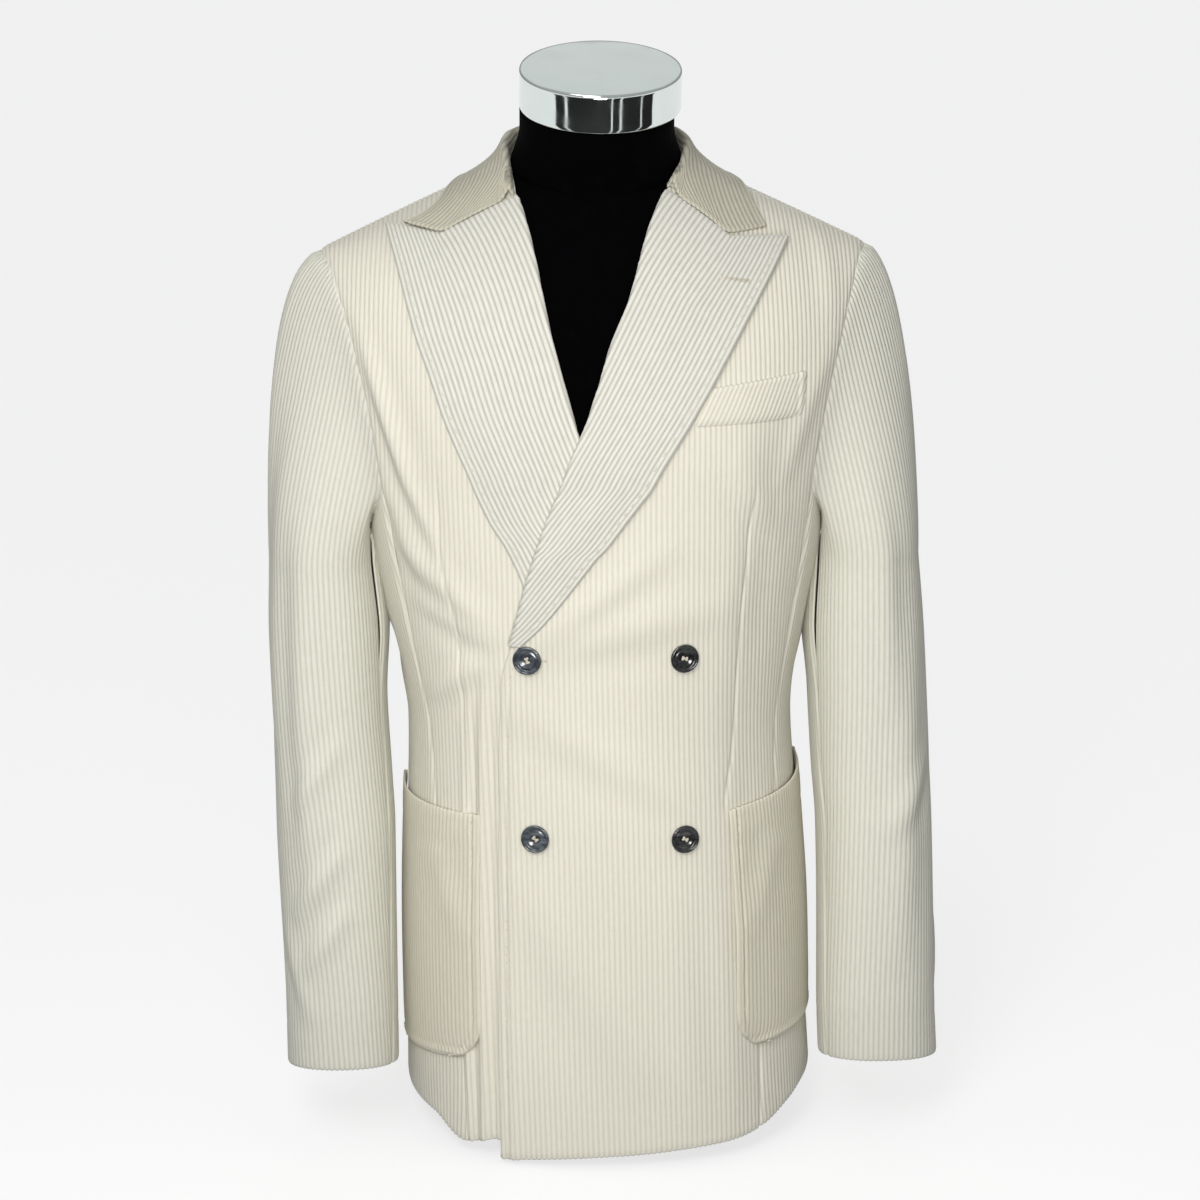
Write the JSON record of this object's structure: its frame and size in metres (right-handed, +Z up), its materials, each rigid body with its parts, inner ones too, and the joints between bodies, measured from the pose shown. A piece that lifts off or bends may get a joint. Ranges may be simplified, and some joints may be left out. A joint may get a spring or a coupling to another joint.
{
  "type": "double breasted blazer on a limbless dress form",
  "caption": "Worn double breasted corduroy blazer with peak lapels, patch pockets, a welt pocket and two-piece sleeves, standing on its limbless dress form with a neck cap.",
  "frame": {"origin": "on the floor, at the middle of the dress form's flat base", "axes": "+Z up, the garment's front faces -Y, the wearer's left is +X"},
  "size_m": [0.5445, 0.2862, 0.8844],
  "materials": {
    "front_cord": "wide wale corduroy, soft sheen on the ribs",
    "panel_cord": "wide wale corduroy",
    "sleeve_cord": "wide wale corduroy",
    "collar_cord": "wide wale corduroy, ribs across the view",
    "lapel_cord": "wide wale corduroy",
    "pocket_cord": "wide wale corduroy",
    "jersey": "black jersey pulled over foam",
    "chrome": "polished",
    "horn": "grey horn, polished"
  },
  "bodies": {
    "root": {"front_left": "front_cord", "front_right": "front_cord", "back_left": "panel_cord", "back_right": "panel_cord", "side_left": "panel_cord", "side_right": "panel_cord", "top_sleeve_left": "sleeve_cord", "top_sleeve_right": "sleeve_cord", "under_sleeve_left": "sleeve_cord", "under_sleeve_right": "sleeve_cord", "collar": "collar_cord", "lapel_left": "lapel_cord", "lapel_right": "lapel_cord", "breast_welt": "pocket_cord", "patch_pocket_left": "pocket_cord", "patch_pocket_right": "pocket_cord", "button_top_right": "horn", "button_top_left": "horn", "button_low_right": "horn", "button_low_left": "horn", "form_torso": "jersey", "neck_cap": "chrome"}
  },
  "joints": []
}
